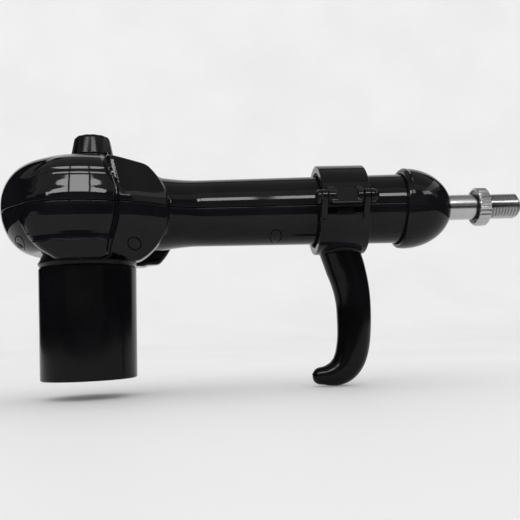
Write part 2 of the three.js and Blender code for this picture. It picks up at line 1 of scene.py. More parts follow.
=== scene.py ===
"""The looks of the hand-held reciprocating rod tool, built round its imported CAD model.

Tables and shapes here are in millimetres; meshes are scaled to metres as they are made.
+X runs along the barrel to the rod's threaded end, +Z is up, -Y is the side with the clamp's hinge.
"""
import json
import math

import bpy
import numpy as np
from mathutils import Matrix, Vector


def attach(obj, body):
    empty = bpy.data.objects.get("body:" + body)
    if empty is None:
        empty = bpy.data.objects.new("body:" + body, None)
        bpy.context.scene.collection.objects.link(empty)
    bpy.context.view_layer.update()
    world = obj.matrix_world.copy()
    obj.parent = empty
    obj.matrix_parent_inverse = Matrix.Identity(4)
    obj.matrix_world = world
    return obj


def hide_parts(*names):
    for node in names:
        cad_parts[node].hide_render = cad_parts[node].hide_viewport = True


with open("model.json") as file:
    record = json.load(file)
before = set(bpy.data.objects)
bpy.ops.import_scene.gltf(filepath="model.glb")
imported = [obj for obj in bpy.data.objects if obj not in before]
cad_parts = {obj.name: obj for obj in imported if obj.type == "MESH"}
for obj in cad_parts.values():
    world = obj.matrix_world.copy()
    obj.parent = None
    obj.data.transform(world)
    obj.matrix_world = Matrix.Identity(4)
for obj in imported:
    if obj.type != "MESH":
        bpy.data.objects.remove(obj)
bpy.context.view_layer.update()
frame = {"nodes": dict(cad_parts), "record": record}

MM = 0.001
AXIS_Z = 97.7  # height of the rod's axis, where the housing parts
CLAMP_X = 155.0


# ---- meshes ------------------------------------------------------------------------------------
def new_object(name, points, faces, normals=None):
    """A smooth-shaded object from points in millimetres and a list or array of faces."""
    mesh = bpy.data.meshes.new(name)
    mesh.from_pydata((np.asarray(points, float) * MM).tolist(), [], [list(f) for f in faces])
    mesh.shade_smooth()
    if normals is not None:
        mesh.normals_split_custom_set_from_vertices(normals.tolist())
    obj = bpy.data.objects.new(name, mesh)
    bpy.context.scene.collection.objects.link(obj)
    return obj


def lines(*plan):
    """Grid lines from a plan of position, step, position, step, ..., position."""
    found = []
    for start, step, end in zip(plan[0::2], plan[1::2], plan[2::2]):
        count = max(1, round((end - start) / step))
        found.extend(np.linspace(start, end, count, endpoint=False))
    return np.array([*found, plan[-1]])


def gradient(field, p, step=0.03):
    """The outward unit direction of a field at points p, and its slope there."""
    parts = []
    for axis in range(3):
        offset = np.zeros(3)
        offset[axis] = step
        parts.append(field(*(p + offset).T) - field(*(p - offset).T))
    g = np.stack(parts, 1)
    return g / np.maximum(np.linalg.norm(g, axis=1, keepdims=True), 1e-9), g / (2 * step)


def crossings(d, grid, axis):
    """Where the zero level cuts the grid's edges along an axis, with the four cells round each."""
    low = [slice(None)] * 3
    high = [slice(None)] * 3
    low[axis], high[axis] = slice(0, -1), slice(1, None)
    a, b = d[tuple(low)], d[tuple(high)]
    edge = np.argwhere((a < 0) != (b < 0))
    across = [k for k in range(3) if k != axis]
    inner = np.all([(edge[:, k] > 0) & (edge[:, k] < d.shape[k] - 1) for k in across], axis=0)
    edge = edge[inner]
    va, vb = a[tuple(edge.T)], b[tuple(edge.T)]
    p = np.stack([grid[k][edge[:, k]] for k in range(3)], 1)
    p[:, axis] += va / (va - vb) * (grid[axis][edge[:, axis] + 1] - grid[axis][edge[:, axis]])
    cells = []
    for du, dv in ((0, 0), (-1, 0), (-1, -1), (0, -1)):
        cell = edge.copy()
        cell[:, across[0]] += du
        cell[:, across[1]] += dv
        cells.append(np.ravel_multi_index(cell.T, [n - 1 for n in d.shape]))
    quads = np.stack(cells, 1)
    flip = (va < 0) == (axis == 1)
    quads[flip] = quads[flip][:, ::-1]
    return p, quads


def moulded(name, field, xs, ys, zs):
    """A closed quad skin over the zero level of a signed field, on a grid of lines."""
    grid = (xs, ys, zs)
    d = field(xs[:, None, None], ys[None, :, None], zs[None, None, :])
    total = np.zeros((d.size, 3))
    count = np.zeros(d.size)
    quads = []
    for axis in range(3):
        p, q = crossings(d, grid, axis)
        for corner in q.T:
            np.add.at(total, corner, p)
            np.add.at(count, corner, 1)
        quads.append(q)
    quads = np.concatenate(quads)
    used = np.flatnonzero(count)
    place = np.full(d.size, -1)
    place[used] = np.arange(len(used))
    points = total[used] / count[used, None]
    for _ in range(3):
        unit, slope = gradient(field, points)
        size = np.maximum(np.linalg.norm(slope, axis=1), 0.3)
        points -= unit * np.clip(field(*points.T) / size, -0.25, 0.25)[:, None]
    normals, _ = gradient(field, points)
    return new_object(name, points, place[quads], normals)


# ---- fields: negative inside, millimetres ------------------------------------------------------
def over(a, b, k=0.0):
    """Where both fields are inside, with the edge rounded over about k."""
    if not k:
        return np.maximum(a, b)
    h = np.clip(0.5 + 0.5 * (a - b) / k, 0, 1)
    return b + (a - b) * h + k * h * (1 - h)


def union(a, b, k=0.0):
    return -over(-a, -b, k)


def minus(a, b, k=0.0):
    return over(a, -b, k)


def oval(u, v, a, b):
    """About the distance to an ellipse with half axes a and b."""
    k0 = np.sqrt((u / a) ** 2 + (v / b) ** 2)
    k1 = np.sqrt((u / a ** 2) ** 2 + (v / b ** 2) ** 2)
    return k0 * (k0 - 1) / np.maximum(k1, 1e-6)


def soft(knots, at, blur):
    """A profile through knots of (position, value), its corners rounded over about blur."""
    xs, ys = zip(*knots)
    return sum(np.interp(at + o * blur, xs, ys) for o in (-1, -0.6, -0.2, 0.2, 0.6, 1)) / 6


def rod_x(r, x, y, z):
    """A bar on the rod's axis; x has no effect on it."""
    return np.sqrt(y ** 2 + (z - AXIS_Z) ** 2) - r


def post_z(r, x, y, cx=0.0, cy=0.0):
    """An upright post."""
    return np.sqrt((x - cx) ** 2 + (y - cy) ** 2) - r


def between(value, low, high):
    return np.maximum(low - value, value - high)


# ---- materials ---------------------------------------------------------------------------------
def shader(name, colour, other, rough, metallic=0.0, grain=900.0, bump=0.02, stretch=(1, 1, 1),
           blotch=35.0, **sockets):
    """A material whose colour, roughness and surface vary with noise fixed to the object.

    colour and other are the two ends of its colour, rough the two ends of its roughness, grain
    the fine noise's scale, and stretch makes that noise run in lines.
    """
    mat = bpy.data.materials.new(name)
    mat.use_nodes = True
    tree = mat.node_tree
    surface = tree.nodes["Principled BSDF"]
    surface.inputs["Metallic"].default_value = metallic
    for key, value in sockets.items():
        surface.inputs[key.replace("_", " ")].default_value = value

    def node(kind, **settings):
        made = tree.nodes.new(kind)
        for key, value in settings.items():
            made.inputs[key].default_value = value
        return made

    place = tree.nodes.new("ShaderNodeTexCoord")
    squeeze = node("ShaderNodeMapping", Scale=stretch)
    fine = node("ShaderNodeTexNoise", Scale=grain, Detail=3.0)
    broad = node("ShaderNodeTexNoise", Scale=blotch, Detail=4.0)
    tint = tree.nodes.new("ShaderNodeValToRGB")
    tint.color_ramp.elements[0].position, tint.color_ramp.elements[1].position = 0.3, 0.7
    tint.color_ramp.elements[0].color = (*colour, 1)
    tint.color_ramp.elements[1].color = (*other, 1)
    spread = node("ShaderNodeMapRange")
    spread.inputs["From Min"].default_value, spread.inputs["From Max"].default_value = 0.3, 0.7
    spread.inputs["To Min"].default_value, spread.inputs["To Max"].default_value = rough
    relief = node("ShaderNodeBump", Strength=bump, Distance=0.001)
    link = tree.links.new
    link(place.outputs["Object"], squeeze.inputs["Vector"])
    link(squeeze.outputs["Vector"], fine.inputs["Vector"])
    link(place.outputs["Object"], broad.inputs["Vector"])
    link(broad.outputs["Fac"], tint.inputs["Fac"])
    link(tint.outputs["Color"], surface.inputs["Base Color"])
    link(broad.outputs["Fac"], spread.inputs["Value"])
    link(spread.outputs["Result"], surface.inputs["Roughness"])
    link(fine.outputs["Fac"], relief.inputs["Height"])
    link(relief.outputs["Normal"], surface.inputs["Normal"])
    return mat


GLOSS = shader("gloss_black_plastic", (0.004, 0.004, 0.005), (0.008, 0.008, 0.009), (0.04, 0.08),
               grain=420, bump=0.006, Specular_IOR_Level=0.16)
SATIN = shader("satin_black_plastic", (0.0025, 0.0025, 0.003), (0.005, 0.005, 0.006), (0.13, 0.2),
               grain=700, bump=0.012, Specular_IOR_Level=0.14)
RUBBER = shader("black_rubber", (0.012, 0.012, 0.012), (0.02, 0.02, 0.02), (0.55, 0.7),
                grain=1500, bump=0.05)
STEEL = shader("turned_steel", (0.41, 0.41, 0.41), (0.48, 0.48, 0.48), (0.17, 0.26), metallic=1.0,
               grain=120, bump=0.03, stretch=(40, 1, 1))
DARK = shader("blackened_steel", (0.10, 0.10, 0.11), (0.15, 0.15, 0.16), (0.35, 0.5), metallic=0.9,
              grain=1200, bump=0.03)
POLYMER = shader("bearing_polymer", (0.70, 0.67, 0.59), (0.78, 0.75, 0.67), (0.4, 0.5), grain=1200,
                 bump=0.02)
BRASS = shader("turned_brass", (0.62, 0.47, 0.20), (0.72, 0.57, 0.29), (0.2, 0.35), metallic=1.0,
               grain=900, bump=0.02, stretch=(1, 1, 8))
BOARD = shader("circuit_board", (0.05, 0.22, 0.10), (0.08, 0.28, 0.14), (0.35, 0.5), grain=1500,
               bump=0.03)
FLOOR = shader("pale_floor", (0.88, 0.88, 0.88), (0.92, 0.92, 0.92), (0.6, 0.7), grain=200,
               bump=0.002, blotch=3)
BY_SLOT = {"gloss_black": GLOSS, "satin_black": SATIN, "rubber": RUBBER, "steel": STEEL,
           "dark_steel": DARK, "bearing_polymer": POLYMER, "brass": BRASS, "circuit_board": BOARD}


def dress_cad():
    """Every CAD node gets its slot's material, shown or not."""
    for part in frame["record"]["subparts"]:
        mesh = frame["nodes"][part["node"]].data
        mesh.materials.clear()
        mesh.materials.append(BY_SLOT[part["material_slot"]])


# ---- camera, light and floor -------------------------------------------------------------------
FRAME_WIDTH = 520  # of the image, in pixels
FOCAL_LENGTH = 683.089  # in the same pixels
SENSOR_WIDTH = 36
FLOOR_Z = -0.0107  # metres, just under the grip's lowest point


def build_camera():
    data = bpy.data.cameras.new("camera")
    data.sensor_width = SENSOR_WIDTH
    data.lens = FOCAL_LENGTH * SENSOR_WIDTH / FRAME_WIDTH
    data.clip_start, data.clip_end = 0.01, 50
    camera = bpy.data.objects.new("camera", data)
    yaw, pitch, roll = -0.089619, 0.107277, 0.040088
    turn = Matrix.Rotation(yaw, 4, "Z") @ Matrix.Rotation(pitch, 4, "X")
    turn = turn @ Matrix.Rotation(roll, 4, "Y")
    upright = Matrix(((1, 0, 0, 0), (0, 0, -1, 0), (0, 1, 0, 0), (0, 0, 0, 1)))
    camera.matrix_world = Matrix.Translation((0.066714, -0.417121, 0.022716)) @ turn @ upright
    bpy.context.scene.collection.objects.link(camera)
    bpy.context.scene.camera = camera


def panel(name, place, target, width, height, radiance):
    """A rectangular lamp that shows only as gloss; the world lights the matt surfaces."""
    data = bpy.data.lights.new(name, "AREA")
    data.shape, data.size, data.size_y = "RECTANGLE", width, height
    data.energy = radiance * math.pi * width * height
    light = bpy.data.objects.new(name, data)
    light.location = place
    light.rotation_euler = (Vector(target) - Vector(place)).to_track_quat("-Z", "Y").to_euler()
    light.visible_diffuse = False
    bpy.context.scene.collection.objects.link(light)


def build_stage():
    """A floor that sweeps up into a backdrop far behind, and lamps above and in front."""
    flat_to, curve = 2.0, 1.5
    profile = [(-0.3, FLOOR_Z), (0.1, FLOOR_Z)]
    profile += [(flat_to + curve * math.sin(t), FLOOR_Z + curve - curve * math.cos(t))
                for t in np.linspace(0, math.pi / 2, 13)]
    profile.append((flat_to + curve, 5))
    points, faces = [], []
    for y, z in profile:
        wide = 1000 * max(y - 0.1, 0)
        points += [(-500 - 0.5 * wide, y * 1000, z * 1000), (800 + 0.8 * wide, y * 1000, z * 1000)]
    for i in range(len(profile) - 1):
        faces.append((2 * i, 2 * i + 1, 2 * i + 3, 2 * i + 2))
    sweep = new_object("floor_sweep", points, faces)
    sweep.data.materials.append(FLOOR)
    world = bpy.data.worlds.new("studio")
    world.use_nodes = True
    background = world.node_tree.nodes["Background"]
    background.inputs["Color"].default_value = (1, 1, 1, 1)
    background.inputs["Strength"].default_value = 1.0
    world.cycles_visibility.glossy = False
    bpy.context.scene.world = world
    bpy.context.scene.view_settings.view_transform = "Standard"
    axis_height = 0.098
    middle = (0.1, 0, axis_height)
    for i, (low, high) in enumerate(((-0.86, -0.26), (-0.22, 0.17), (0.21, 0.58))):
        x = (low + high) / 2
        panel(f"strip_light_{i}", (x, -0.85, 0.765), (x, 0, axis_height), high - low, 0.18, 19)
    panel("side_light", (1.25, 0.0, 0.98), middle, 1.3, 0.2, 1.1)
    panel("right_light", (1.25, -0.85, 0.9), (0.2, 0, axis_height), 0.5, 0.22, 8)
    panel("upper_light", (0, -1.15, 1.65), (0, 0, 0.1), 9, 0.62, 0.68)
    panel("ceiling", (0.4, 0, 2.3), (0.4, 0, 0), 7, 2.4, 0.34)
    panel("front_fill", (0.1, -3, 0.9), middle, 6, 1.6, 0.16)


def dress(obj, material, body, slot, *nodes):
    """Gives a piece its material, the body it rides on and the CAD nodes it stands for."""
    obj.data.materials.append(material)
    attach(obj, body)
    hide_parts(*nodes)
    return obj


# ---- housing -----------------------------------------------------------------------------------
# Knots of (height, radius) for the cheeks' walls, and of (height, X) for the edges across them.
PAD_WALL = [(63, 42.4), (67, 44.2), (72, 46.6), (76.2, 48.5), (76.9, 48.6), (77.3, 47.8),
            (78.6, 47.8), (80, 48), (82, 48.5), (86, 49.9), (90, 51.15), (93, 51.9), (95, 52.23),
            (97.7, 52.4), (100, 52.28), (102, 51.98), (104, 51.5), (106, 50.95), (109, 50.2),
            (112.2, 49.35), (112.5, 48.8), (113.9, 48.5), (115.2, 47.9), (115.5, 47.3),
            (117.3, 46.95), (118.6, 46), (120, 44.8), (122, 42.9), (124, 40.4), (126, 36.4),
            (128, 25)]
WING_WALL = [(63, 42.5), (66, 44.1), (70, 46.1), (76, 48.7), (80, 50.2), (86, 52.2), (90.3, 53.35),
             (94, 53.85), (97.7, 54), (101, 53.7), (103.5, 53.1), (106, 52.3), (108, 51.6),
             (122.5, 46.8), (126, 45)]
PAD_REAR = [(63, -8), (68.3, -12.3), (72.9, -19.5), (79.8, -26.6), (88.8, -30.1), (99.2, -29.6),
            (105.1, -28.8), (112.6, -26.8), (117.8, -22.8), (123.7, -15.6), (127, -9)]
TROUGH_REAR = [(63, 16), (69.5, 16.6), (76, 17.3), (85, 20), (95, 22.2), (105.7, 22), (113.3, 18),
               (123.2, 13.8), (128, 12)]
TROUGH_FRONT = [(63, 17.6), (70, 18.6), (77, 21), (85, 23.8), (94, 25.4), (105, 25), (107.9, 24.4),
                (125, 20.6), (128, 20)]
CHEEK_FOOT = [(-60, 67.3), (13, 67.3), (18.7, 70.2), (24, 68.9), (31, 65.9), (60, 65.9)]
SKIN = 3.2
SEAM = 0.16
PLUGS = {"barrel": (113.3, 80.9, 6), "head_front": (31.3, 75.2, 30), "head_rear": (-34.3, 79.4, 16)}
PLUG_R = 3.15
DRUM_Z = 102.3  # height at which the head is widest
CROWN_Z = 131.9  # height of the head's flat top


def trough(x, z):
    """How far across the trough between pad and wing a point is, 0 to 1, and the trough's depth."""
    rear, front = soft(TROUGH_REAR, z, 4), soft(TROUGH_FRONT, z, 4)
    s = (x - rear) / (front - rear)
    return s, 1.3 * np.clip(4 * s * (1 - s), 0, None)


def cheeks(x, y, z, q):
    """The head's two raised cheeks: a pad behind, a trough and a wing in front."""
    side = np.abs(y)
    s, dip = trough(x, z)
    drop = 1.1 * np.clip((-7 - x) / 14, 0, 1.5) ** 2 * np.clip((z - 100) / 10, 0, 1)
    pad, wing = soft(PAD_WALL, z + drop, 0.2), soft(WING_WALL, z, 0.5)
    share = np.clip((s - 0.2) / 0.6, 0, 1)
    flat = np.where(x > 0.765 * side, 0.608 * x + 0.794 * side, q)
    wall = (flat - (pad + (wing - pad) * share ** 2 * (3 - 2 * share) - dip)) * 0.97
    far = np.clip(y / 20, 0, 1)
    reach = 34 + 2.5 * far * np.clip((86 - z) / 6, 0, 1)
    front = np.sqrt(np.maximum(x - 16.4, 0) ** 2 + (z - 96) ** 2) - reach
    rear = (soft(PAD_REAR, z, 1.5) - x) * 0.85
    top = np.where(s > 0.5, z - 125 + 0.15 * (x - 20), -9)
    body = over(over(wall, front, 1.0), rear, 4.5)
    foot = soft(CHEEK_FOOT, x, 1) + far * np.clip((x - 24) / 3, 0, 3.2)
    body = over(over(body, top, 1.4), foot - z, 1.2)
    return over(body, 20 - side, 2)


def barrel(x, y, z):
    """The barrel, which tapers a little, and its root that widens into the head."""
    ease = np.clip((68 - x) / 24, -0.5, 1)
    side = 0.5 * (ease + np.sqrt(ease ** 2 + 0.003))
    r = 20.3 + 1.5 * np.clip((x - 64) / 139, 0, 1)
    tall = r + 2 * np.maximum(ease, 0) ** 2
    return over(oval(y, z - AXIS_Z, r + 8 * side, tall), between(x, 0, 203), 0.6)


def housing(x, y, z):
    """The housing's outside."""
    q = np.sqrt(x ** 2 + y ** 2)
    half = np.where(z > DRUM_Z, 25.2, 28.2)
    dip = trough(x, z)[1] * np.clip((np.abs(y) - 12) / 8, 0, 1) * np.clip((z - 105) / 8, 0, 1)
    drum = oval(np.maximum(q - 29.5, 0), z - DRUM_Z, 20.2, half) + 0.8 * dip
    crown = over(z - CROWN_Z, (z - CROWN_Z + 0.303 * (q - 15)) * 0.957, 1)
    crown = over(over(crown, 120 - z), q - 31, 2)
    body = union(union(drum, crown, 4), cheeks(x, y, z, q), 0.9)
    body = union(body, barrel(x, y, z), 2)
    return minus(body, over(post_z(31, x, y), z - 74.1), 0.6)


def plug_bar(x, y, z, name, r):
    cx, cz, depth = PLUGS[name]
    return over(np.sqrt((x - cx) ** 2 + (z - cz) ** 2) - r, depth - np.abs(y))


def housing_shell(x, y, z):
    """The housing as a skin, with its openings and the plugs' recesses."""
    outside = housing(x, y, z)
    shell = over(outside, -(outside + SKIN))
    shell = minus(shell, over(rod_x(17, x, y, z), 190 - x))
    shell = minus(shell, over(post_z(8, x, y), z - 80))
    shell = minus(shell, over(post_z(4.5, x, y, KNOB_X), 120 - z))
    for name in PLUGS:
        recess = over(plug_bar(x, y, z, name, PLUG_R + 0.32), -(outside + 1.9))
        shell = minus(shell, recess, 0.15)
    return shell


def upper_shell(x, y, z):
    return over(housing_shell(x, y, z), AXIS_Z + SEAM - z, 0.7)


def lower_shell(x, y, z):
    return over(housing_shell(x, y, z), z - AXIS_Z + SEAM, 0.7)


HEAD_X = (-52, 0.7, -39, 0.35, -30, 0.45, -24, 0.7, 12, 0.5, 27, 0.35, 36, 0.45, 52, 0.8, 70, 3,
          108.8, 0.35, 117.8, 3, 201, 0.5, 204.5)


def build_housing():
    xs, ys = lines(*HEAD_X), lines(-56, 0.7, 56)
    upper = moulded("housing_upper_shell", upper_shell, xs, ys,
                    lines(97.3, 0.2, 98.9, 0.7, 110.6, 0.28, 118.4, 0.6, 134))
    lower = moulded("housing_lower_shell", lower_shell, xs, ys,
                    lines(63, 0.7, 70, 0.35, 85.5, 0.7, 96.3, 0.2, 98.1))
    dress(upper, GLOSS, "housing", "gloss_black", "upper_housing")
    dress(lower, GLOSS, "housing", "gloss_black", "lower_housing")
    for name, (cx, cz, depth) in PLUGS.items():
        for label, sign in (("near", -1), ("far", 1)):
            def disc(x, y, z):
                outside = housing(x, y, z)
                body = over(plug_bar(x, y, z, name, PLUG_R), outside + 0.05, 0.3)
                return over(over(body, -(outside + 1.7)), -sign * y)
            low, high = sorted((sign * depth, sign * 56))
            node = f"{name}_plug_{label}"
            obj = moulded(f"{node}_disc", disc, lines(cx - 3.6, 0.3, cx + 3.6),
                          lines(low - 0.5, 0.3, high + 0.5), lines(cz - 3.6, 0.3, cz + 3.6))
            dress(obj, GLOSS, "housing", "gloss_black", node)


# ---- turned and swept pieces -------------------------------------------------------------------
def rounded(profile, radius, steps=4):
    """A profile whose inner corners are eased into small curves."""
    found = [np.array(profile[0], float)]
    for a, b, c in zip(profile, profile[1:], profile[2:]):
        a, b, c = (np.array(p, float) for p in (a, b, c))
        back, on = a - b, c - b
        first = b + back * min(radius / np.linalg.norm(back), 0.45)
        last = b + on * min(radius / np.linalg.norm(on), 0.45)
        for t in np.linspace(0, 1, steps + 1):
            found.append((1 - t) ** 2 * first + 2 * t * (1 - t) * b + t ** 2 * last)
    return np.array([*found, np.array(profile[-1], float)])


def skin(name, rings, loop=False, crease=32):
    """A piece from rings of points, each joined to the next; open ends are closed flat."""
    count, segments = rings.shape[:2]
    faces = []
    for i in range(count if loop else count - 1):
        below, above = i * segments, ((i + 1) % count) * segments
        for j in range(segments):
            k = (j + 1) % segments
            faces.append((below + j, below + k, above + k, above + j))
    if not loop:
        faces.append(tuple(range(segments))[::-1])
        faces.append(tuple(range((count - 1) * segments, count * segments)))
    obj = new_object(name, rings.reshape(-1, 3), faces)
    bpy.context.view_layer.objects.active = obj
    obj.select_set(True)
    bpy.ops.object.mode_set(mode="EDIT")
    bpy.ops.mesh.select_all(action="SELECT")
    bpy.ops.mesh.normals_make_consistent(inside=False)
    bpy.ops.object.mode_set(mode="OBJECT")
    obj.select_set(False)
    obj.data.set_sharp_from_angle(angle=math.radians(crease))
    return obj


def turned(name, profile, along, centre=(0, 0, 0), segments=96, ease=0.35, bend=None, loop=False):
    """A piece turned from (position, radius) points, with flutes if bend cuts them."""
    if loop:
        middle = [(np.array(profile[0], float) + np.array(profile[-1], float)) / 2]
        rows = rounded([*middle, *profile, *middle], ease)[:-1]
    else:
        rows = rounded(profile, ease)
        rows = rows[rows[:, 1] > 0]
    angle = np.linspace(0, 2 * math.pi, segments, endpoint=False)[None, :]
    at, r = rows[:, :1] + 0 * angle, rows[:, 1:] + 0 * angle
    if bend:
        r = bend(angle, at, r)
    u, v = r * np.cos(angle), r * np.sin(angle)
    rings = np.stack((at, u, v) if along == "x" else (u, v, at), -1) + np.array(centre, float)
    return skin(name, rings, loop)


def smooth_line(knots, count):
    """Points on a smooth curve through the knots (Catmull-Rom, by chord)."""
    knots = np.array(knots, float)
    ends = [2 * knots[0] - knots[1], *knots, 2 * knots[-1] - knots[-2]]
    found = []
    for i in range(len(knots) - 1):
        a, b, c, d = ends[i:i + 4]
        for t in np.linspace(0, 1, count, endpoint=False):
            found.append(0.5 * (2 * b + (c - a) * t + (2 * a - 5 * b + 4 * c - d) * t ** 2
                                + (3 * b - a - 3 * c + d) * t ** 3))
    return np.array([*found, knots[-1]])


# ---- handle and knob ---------------------------------------------------------------------------
INLET_X = 13
KNOB_X = 3.6


def build_handle():
    tube = turned("handle_sleeve", [
        (0, 25.6), (0, 27.4), (0.7, 28), (65.3, 28.7), (65.9, 27.8), (68.3, 29.1), (69, 28.8),
        (73.8, 26.4), (73.8, 25.6)], "z", segments=160, ease=0.4, loop=True)
    dress(tube, SATIN, "housing", "satin_black", "handle_tube")

    def cap_field(x, y, z):
        disc = over(post_z(25.2, x, y), between(z, 0, 3.2), 0.5)
        skirt = over(over(post_z(25.2, x, y), -post_z(22.3, x, y)), between(z, 3, 5.5))
        groove = over(np.abs(post_z(21, x, y)) - 0.4, z - 0.5)
        body = minus(union(disc, skirt), groove, 0.2)
        seat = over(post_z(7.4, x, y, INLET_X), z - 0.6)
        return minus(minus(body, seat, 0.2), post_z(5.9, x, y, INLET_X), 0.3)

    cap = moulded("handle_floor", cap_field, lines(-26, 0.45, 26), lines(-26, 0.45, 26),
                  lines(-0.5, 0.2, 1.1, 0.5, 3.5, 0.7, 6.3))
    dress(cap, SATIN, "housing", "satin_black", "handle_end_cap")
    inlet = turned("power_socket", [(0.6, 3.5), (0.6, 5.6), (13, 5.6), (13, 0.3), (9.5, 0.3),
                                    (9.5, 3.5)], "z", (INLET_X, 0, 0), 48, loop=True)
    dress(inlet, RUBBER, "housing", "rubber", "power_inlet")
    pin = turned("power_socket_pin", [(1.8, 0), (1.8, 0.9), (9.4, 0.9), (9.4, 0)], "z",
                 (INLET_X, 0, 0), 24, 0.4)
    pin.data.materials.append(STEEL)
    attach(pin, "housing")


def build_knob():
    def flutes(angle, at, r):
        wave = np.abs(np.sin(6 * angle)) ** 0.7
        depth = 0.55 * np.clip((at - 134.4) / 1.5, 0, 1) * np.clip((r - 6) / 3, 0, 1)
        return r - depth * (1 - wave)

    knob = turned("dial_knob", [
        (133.7, 0), (133.7, 12.6), (134.3, 12.8), (144.8, 10.8), (146, 10), (146.5, 8),
        (146.6, 0)], "z", (KNOB_X, 0, 0), 144, 0.7, flutes)
    dress(knob, SATIN, "speed_knob", "satin_black", "speed_knob")
    bezel = turned("dial_flange", [
        (132.2, 5), (132.2, 14), (133.2, 13.9), (133.4, 12.6), (133.4, 5)],
        "z", (KNOB_X, 0, 0), 96, 0.3, loop=True)
    dress(bezel, GLOSS, "housing", "rubber", "knob_bezel")


# ---- rod end and nose --------------------------------------------------------------------------
THREAD_FROM, THREAD_TO, PITCH = 250.1, 270.4, 2.0


def build_rod():
    """The rod with its helical thread, and the knurled nut on it."""
    def thread(angle, at, r):
        phase = (at - THREAD_FROM) / PITCH - angle / (2 * math.pi)
        rise = np.abs((phase % 1) - 0.5) * 2
        flank = 6.7 + 1.25 * np.clip(1.15 * rise - 0.07, 0, 1)
        return np.where(at > THREAD_FROM + 0.01, np.minimum(r, flank), r)

    threaded = [(x, 7.9) for x in np.arange(THREAD_FROM + 0.1, THREAD_TO - 1.5, 0.125)]
    rod = turned("rod_bar", [
        (-4, 0), (-4, 7.4), (-3.4, 8), (THREAD_FROM - 0.4, 8), *threaded, (THREAD_TO - 1.4, 7.9),
        (THREAD_TO, 6.3), (THREAD_TO, 0)], "x", (0, 0, AXIS_Z), 96, 0.04, thread)
    dress(rod, STEEL, "plunger", "steel", "rod")

    def knurl(angle, at, r):
        tooth = (0.5 - 0.5 * np.cos(30 * angle)) ** 0.8
        return np.where(r > 11.4, np.minimum(r, 12.05 - 0.5 * tooth), r)

    nut = turned("knurled_nut", [
        (242.4, 10.6), (242.4, 11.3), (243.1, 12.05), (249.2, 12.05), (249.9, 11.3), (249.9, 8.3),
        (244.9, 8.3), (244.9, 10.5)], "x", (0, 0, AXIS_Z), 360, 0.25, knurl, loop=True)
    dress(nut, STEEL, "lock_nut", "steel", "lock_nut")


def build_nose():
    bulge = [(196 + 27.4 * math.sin(t), 25.3 * math.sqrt(1 - (27.4 * math.sin(t) / 30.6) ** 2))
             for t in np.linspace(0, math.pi / 2, 22)]
    nose = turned("nose_dome", [
        (192.3, 22.4), (192.3, 24.2), (192.9, 24.8), *bulge, (223.4, 10.9), (218.3, 10.9),
        (218.3, 8.7), (216, 8.7), (203.4, 15), (203.4, 22.4)], "x", (0, 0, AXIS_Z), 144, 0.3,
        loop=True)
    for vertex in nose.data.vertices:  # the rim leans forward at its top
        if vertex.co.x < 0.196:
            vertex.co.x += 0.06 * (vertex.co.z - AXIS_Z * MM) + 0.0006
    dress(nose, GLOSS, "housing", "gloss_black", "nose_cone")
    seal = turned("wiper_ring", [
        (218.6, 8.2), (218.6, 10.7), (222.6, 10.7), (223, 10), (223.5, 9.4), (223.5, 8.2)],
        "x", (0, 0, AXIS_Z), 96, 0.25, loop=True)
    dress(seal, RUBBER, "housing", "rubber", "wiper_seal")


# ---- clamp and grip ----------------------------------------------------------------------------
HINGE_Y, HINGE_Z = -31.2, 100.3
LATCH_Y = 35.6
EARS = ((138.6, 142.2), (163.7, 167.3))
KNUCKLES = ((142.5, 147.2), (159.8, 163.4))
GRIP_X = 154.6
RING_BORE, RING_R = 23.2, 27.8


def limb(y, z, start, end, r0, r1):
    """In Y and Z, a bar with round ends from start to end whose radius goes from r0 to r1."""
    (ya, za), (yb, zb) = start, end
    dy, dz = yb - ya, zb - za
    t = np.clip(((y - ya) * dy + (z - za) * dz) / (dy * dy + dz * dz), 0, 1)
    return np.sqrt((y - ya - t * dy) ** 2 + (z - za - t * dz) ** 2) - (r0 + (r1 - r0) * t)


def clamp_ring(x, y, z, rear):
    """The ring round the barrel, from a rear end to the front end that both halves share."""
    wall = np.maximum(rod_x(RING_R, x, y, z), -rod_x(RING_BORE, x, y, z))
    return over(wall, between(x, rear, 169.3), 0.8)


def hinge_hole(x, y, z):
    return np.sqrt((y - HINGE_Y) ** 2 + (z - HINGE_Z) ** 2) - 1.8


def lug(x, y, z, low, high):
    return over(over(between(x, 148, 162), between(z, low, high), 1.2), between(y, 24.5, 40.6), 1.6)


def lower_clamp(x, y, z):
    """The saddle: ears for the hinge, a lip under the flap, a lug and the grip's neck."""
    near_top, far_top = z - 91.4, z - 97.4
    half = over(clamp_ring(x, y, z, 138.7), np.where(y < 0, near_top, far_top), 0.5)
    for low, high in EARS:
        ear = union(limb(y, z, (HINGE_Y, HINGE_Z), (HINGE_Y, HINGE_Z - 0.3), 4.3, 4.3),
                    limb(y, z, (HINGE_Y, HINGE_Z), (-26.8, 90), 3.6, 2.3), 0.5)
        half = union(half, over(ear, between(x, low, high), 0.7), 0.6)
    half = union(half, lug(x, y, z, 88.5, 97.4), 1.5)
    lean = 0.233 * (z - AXIS_Z) - 0.972 * y
    face = np.where(z > 93.1, 24.4, 24.9)
    lip = over(between(lean, 21, face), between(z, 90, 94.4), 0.2)
    half = union(half, over(lip, between(x, 148.4, 159.2), 0.3), 0.2)
    grow = 0.16 * np.clip(74.5 - z, 0, 5)
    neck = over(oval(x - GRIP_X, y, 12 + grow, 10.8 + grow), between(z, 70.2, 80), 0.5)
    half = union(half, neck, 1.3)
    half = minus(half, rod_x(RING_BORE, x, y, z))
    half = minus(half, post_z(4.8, x, y, CLAMP_X, LATCH_Y), 0.3)
    half = minus(half, over(post_z(3.3, x, y, GRIP_X), z - 79))
    return minus(half, hinge_hole(x, y, z))


